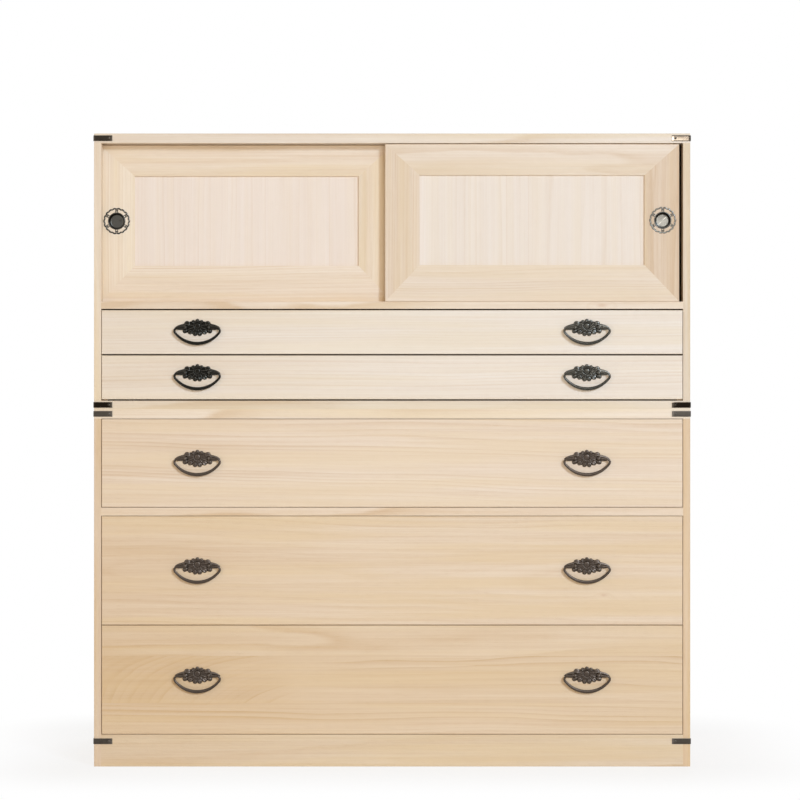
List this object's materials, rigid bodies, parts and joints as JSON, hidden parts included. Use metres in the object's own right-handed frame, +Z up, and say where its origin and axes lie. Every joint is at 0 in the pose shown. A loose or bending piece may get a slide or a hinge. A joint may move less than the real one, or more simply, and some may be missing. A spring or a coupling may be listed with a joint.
{
  "type": "clothing chest",
  "caption": "Stacked paulownia clothing chest with sliding panel doors over shallow trays, wide drawers below, drop bail handles on flower plates and black corner irons.",
  "frame": {"origin": "on the floor under the middle of the whole chest, bail handles included", "axes": "+X to the right seen from the front, the front faces -Y, +Z up"},
  "size_m": [1.0042, 0.4502, 1.0616],
  "materials": {
    "paulownia_case": "bare planed paulownia, pale yellow-brown, matt",
    "paulownia_front": "bare planed paulownia with long figure, matt",
    "paulownia_frame": "bare planed paulownia, straight grain, matt",
    "paulownia_panel": "pale edge-glued paulownia strips, matt",
    "paulownia_inside": "unfinished paulownia of the inner and rear boards",
    "handle_iron": "blackened cast iron, satin",
    "corner_iron": "black sheet iron, satin",
    "pull_bronze": "dark bronze plating, half gloss"
  },
  "bodies": {
    "lower_case": {"lower_left_side": "paulownia_case", "lower_right_side": "paulownia_case", "lower_top_board": "paulownia_case", "lower_bottom_board": "paulownia_inside", "lower_back_panel": "paulownia_inside", "middle_shelf": "paulownia_case", "plinth": "paulownia_case", "drawer_runners": "paulownia_inside", "lower_corner_irons": "corner_iron"},
    "upper_case": {"upper_left_side": "paulownia_case", "upper_right_side": "paulownia_case", "upper_top_board": "paulownia_case", "upper_bottom_board": "paulownia_case", "upper_back_panel": "paulownia_inside", "door_shelf": "paulownia_case", "tray_runners": "paulownia_inside", "upper_corner_irons": "corner_iron"},
    "left_door": {"left_door_stiles": "paulownia_frame", "left_door_rails": "paulownia_frame", "left_door_panel": "paulownia_panel", "left_door_pull": "pull_bronze"},
    "right_door": {"right_door_stiles": "paulownia_frame", "right_door_rails": "paulownia_frame", "right_door_panel": "paulownia_panel", "right_door_pull": "pull_bronze"},
    "tray_1": {"tray_1_front": "paulownia_front", "tray_1_sides": "paulownia_inside", "tray_1_back": "paulownia_inside", "tray_1_bottom": "paulownia_inside", "tray_1_handle_plates": "handle_iron"},
    "tray_2": {"tray_2_front": "paulownia_front", "tray_2_sides": "paulownia_inside", "tray_2_back": "paulownia_inside", "tray_2_bottom": "paulownia_inside", "tray_2_handle_plates": "handle_iron"},
    "drawer_1": {"drawer_1_front": "paulownia_front", "drawer_1_sides": "paulownia_inside", "drawer_1_back": "paulownia_inside", "drawer_1_bottom": "paulownia_inside", "drawer_1_handle_plates": "handle_iron"},
    "drawer_2": {"drawer_2_front": "paulownia_front", "drawer_2_sides": "paulownia_inside", "drawer_2_back": "paulownia_inside", "drawer_2_bottom": "paulownia_inside", "drawer_2_handle_plates": "handle_iron"},
    "drawer_3": {"drawer_3_front": "paulownia_front", "drawer_3_sides": "paulownia_inside", "drawer_3_back": "paulownia_inside", "drawer_3_bottom": "paulownia_inside", "drawer_3_handle_plates": "handle_iron"},
    "tray_1_left_bail": {"tray_1_left_bail": "handle_iron"},
    "tray_1_right_bail": {"tray_1_right_bail": "handle_iron"},
    "tray_2_left_bail": {"tray_2_left_bail": "handle_iron"},
    "tray_2_right_bail": {"tray_2_right_bail": "handle_iron"},
    "drawer_1_left_bail": {"drawer_1_left_bail": "handle_iron"},
    "drawer_1_right_bail": {"drawer_1_right_bail": "handle_iron"},
    "drawer_2_left_bail": {"drawer_2_left_bail": "handle_iron"},
    "drawer_2_right_bail": {"drawer_2_right_bail": "handle_iron"},
    "drawer_3_left_bail": {"drawer_3_left_bail": "handle_iron"},
    "drawer_3_right_bail": {"drawer_3_right_bail": "handle_iron"}
  },
  "joints": [
    {"name": "upper_case_lift", "type": "slide", "parent": "lower_case", "child": "upper_case", "axis": [0, 0, 1], "range_m": [0, 0.25]},
    {"name": "left_door_slide", "type": "slide", "parent": "upper_case", "child": "left_door", "axis": [1, 0, 0], "range_m": [0, 0.486]},
    {"name": "right_door_slide", "type": "slide", "parent": "upper_case", "child": "right_door", "axis": [-1, 0, 0], "range_m": [-0.0105, 0.4755]},
    {"name": "tray_1_slide", "type": "slide", "parent": "upper_case", "child": "tray_1", "axis": [0, -1, 0], "range_m": [0, 0.38]},
    {"name": "tray_2_slide", "type": "slide", "parent": "upper_case", "child": "tray_2", "axis": [0, -1, 0], "range_m": [0, 0.38]},
    {"name": "drawer_1_slide", "type": "slide", "parent": "lower_case", "child": "drawer_1", "axis": [0, -1, 0], "range_m": [0, 0.38]},
    {"name": "drawer_2_slide", "type": "slide", "parent": "lower_case", "child": "drawer_2", "axis": [0, -1, 0], "range_m": [0, 0.38]},
    {"name": "drawer_3_slide", "type": "slide", "parent": "lower_case", "child": "drawer_3", "axis": [0, -1, 0], "range_m": [0, 0.38]},
    {"name": "tray_1_left_bail_swing", "type": "hinge", "parent": "tray_1", "child": "tray_1_left_bail", "pos_m": [-0.3265, -0.22145, 0.73625], "axis": [-1, 0, 0], "range_deg": [-8, 170]},
    {"name": "tray_1_right_bail_swing", "type": "hinge", "parent": "tray_1", "child": "tray_1_right_bail", "pos_m": [0.3265, -0.22145, 0.73625], "axis": [-1, 0, 0], "range_deg": [-8, 170]},
    {"name": "tray_2_left_bail_swing", "type": "hinge", "parent": "tray_2", "child": "tray_2_left_bail", "pos_m": [-0.3265, -0.22145, 0.66035], "axis": [-1, 0, 0], "range_deg": [-8, 170]},
    {"name": "tray_2_right_bail_swing", "type": "hinge", "parent": "tray_2", "child": "tray_2_right_bail", "pos_m": [0.3265, -0.22145, 0.66035], "axis": [-1, 0, 0], "range_deg": [-8, 170]},
    {"name": "drawer_1_left_bail_swing", "type": "hinge", "parent": "drawer_1", "child": "drawer_1_left_bail", "pos_m": [-0.3265, -0.22145, 0.5166], "axis": [-1, 0, 0], "range_deg": [-8, 170]},
    {"name": "drawer_1_right_bail_swing", "type": "hinge", "parent": "drawer_1", "child": "drawer_1_right_bail", "pos_m": [0.3265, -0.22145, 0.5166], "axis": [-1, 0, 0], "range_deg": [-8, 170]},
    {"name": "drawer_2_left_bail_swing", "type": "hinge", "parent": "drawer_2", "child": "drawer_2_left_bail", "pos_m": [-0.3265, -0.22145, 0.3365], "axis": [-1, 0, 0], "range_deg": [-8, 170]},
    {"name": "drawer_2_right_bail_swing", "type": "hinge", "parent": "drawer_2", "child": "drawer_2_right_bail", "pos_m": [0.3265, -0.22145, 0.3365], "axis": [-1, 0, 0], "range_deg": [-8, 170]},
    {"name": "drawer_3_left_bail_swing", "type": "hinge", "parent": "drawer_3", "child": "drawer_3_left_bail", "pos_m": [-0.3265, -0.22145, 0.1532], "axis": [-1, 0, 0], "range_deg": [-8, 170]},
    {"name": "drawer_3_right_bail_swing", "type": "hinge", "parent": "drawer_3", "child": "drawer_3_right_bail", "pos_m": [0.3265, -0.22145, 0.1532], "axis": [-1, 0, 0], "range_deg": [-8, 170]}
  ]
}
